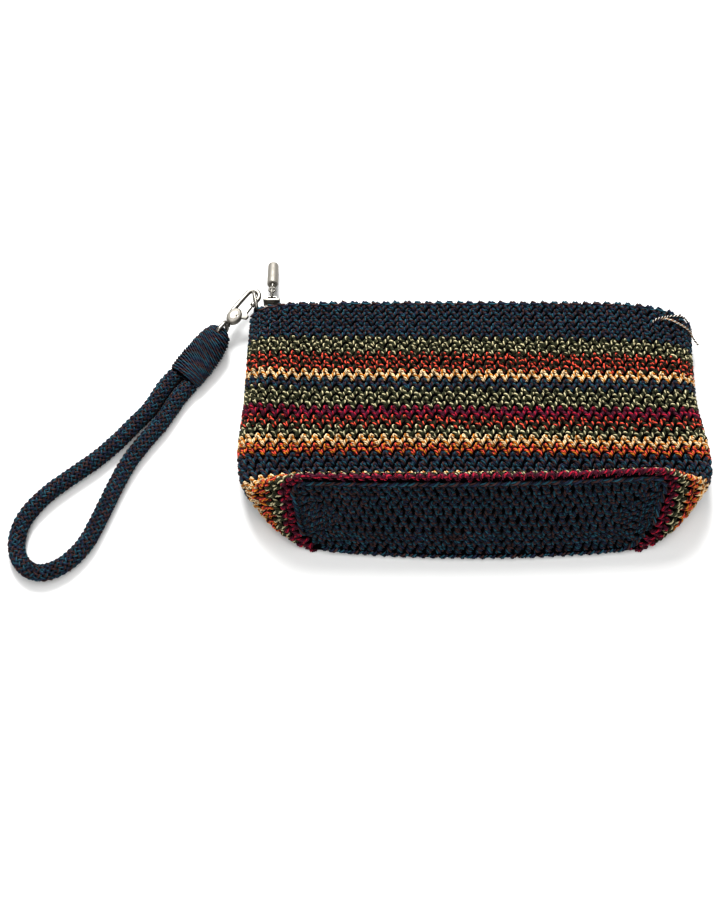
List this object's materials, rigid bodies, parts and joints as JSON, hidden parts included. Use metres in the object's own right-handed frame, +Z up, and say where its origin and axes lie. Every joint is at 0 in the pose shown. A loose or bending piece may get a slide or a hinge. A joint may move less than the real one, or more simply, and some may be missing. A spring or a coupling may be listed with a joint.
{
  "type": "crochet wristlet",
  "caption": "Small crocheted zip pouch with striped walls and a flat oblong base, a lining, and a rope wrist strap on a swivel clasp.",
  "frame": {"origin": "middle of the back panel's flat underside, on which the pouch lies", "axes": "+Z up from the surface it lies on, +X along the pouch's width, +Y from the base towards the zipped mouth"},
  "size_m": [0.3042, 0.1553, 0.0405],
  "materials": {
    "striped_yarn": "marled cotton yarn worked in striped rounds of single crochet",
    "base_yarn": "navy, teal and brown marled yarn in single crochet",
    "rope_yarn": "navy, teal and brown marled yarn braided over a core, and wound as a whipping",
    "lining_cloth": "dark plain woven lining",
    "zip_tape": "dark woven tape",
    "zip_nylon": "dark nylon",
    "nickel": "polished warm nickel plate"
  },
  "bodies": {
    "pouch": {"crochet_back": "striped_yarn", "crochet_base": "base_yarn", "lining_back": "lining_cloth", "lining_base": "lining_cloth", "zipper_tape_back": "zip_tape", "zipper_coil_back": "zip_nylon", "zipper_bottom_stop": "nickel", "ring_tab": "zip_tape"},
    "front_flap": {"crochet_front": "striped_yarn", "lining_front": "lining_cloth", "zipper_tape_front": "zip_tape", "zipper_coil_front": "zip_nylon"},
    "slider": {"zipper_slider": "nickel", "slider_bridge": "nickel"},
    "pull_link": {"pull_ring": "nickel"},
    "pull": {"barrel_pull": "nickel"},
    "ring": {"corner_ring": "nickel"},
    "clasp": {"clasp_hook": "nickel", "gate_pin": "nickel", "gate_spring": "nickel"},
    "gate": {"clasp_gate": "nickel"},
    "swivel": {"swivel_eye": "nickel"},
    "strap": {"strap_bight": "rope_yarn", "strap_whipping": "rope_yarn", "strap_loop": "rope_yarn"}
  },
  "joints": [
    {"name": "mouth_open", "type": "hinge", "parent": "pouch", "child": "front_flap", "pos_m": [0, -0.0297, 0.0283], "axis": [1, 0, 0], "range_deg": [0, 14]},
    {"name": "zip_slide", "type": "slide", "parent": "pouch", "child": "slider", "axis": [1, 0, 0], "range_m": [0, 0.165], "deforming": ["zipper_tape_front", "zipper_coil_front", "zipper_coil_back"]},
    {"name": "pull_link_swing", "type": "hinge", "parent": "slider", "child": "pull_link", "pos_m": [-0.0902, 0.05985, 0.0078], "axis": [0, 0, 1], "range_deg": [-75, 20]},
    {"name": "pull_swing", "type": "hinge", "parent": "pull_link", "child": "pull", "pos_m": [-0.0902, 0.06265, 0.0078], "axis": [1, 0, 0], "range_deg": [-40, 105]},
    {"name": "ring_swing", "type": "hinge", "parent": "pouch", "child": "ring", "pos_m": [-0.09658, 0.05267, 0.0095], "axis": [0, 0, 1], "range_deg": [-5, 10]},
    {"name": "clasp_swing", "type": "hinge", "parent": "ring", "child": "clasp", "pos_m": [-0.0988, 0.0607, 0.0095], "axis": [0, 0, 1], "range_deg": [-70, 0]},
    {"name": "gate_open", "type": "hinge", "parent": "clasp", "child": "gate", "pos_m": [-0.10556, 0.0495, 0.0095], "axis": [0, 0, 1], "range_deg": [0, 18], "stiffness_Nm_per_rad": 0.004, "springref_deg": -11.46, "deforming": ["gate_spring"]},
    {"name": "swivel_turn", "type": "hinge", "parent": "clasp", "child": "swivel", "pos_m": [-0.10956, 0.04677, 0.0095], "axis": [0.6115, 0.7912, 0], "continuous": true},
    {"name": "strap_swing", "type": "hinge", "parent": "swivel", "child": "strap", "pos_m": [-0.11412, 0.04088, 0.0095], "axis": [0, 0, 1], "range_deg": [-12, 12]}
  ],
  "couplings": [
    {"joint": "zip_slide", "follows": "mouth_open", "m_per_rad": 0.675}
  ]
}
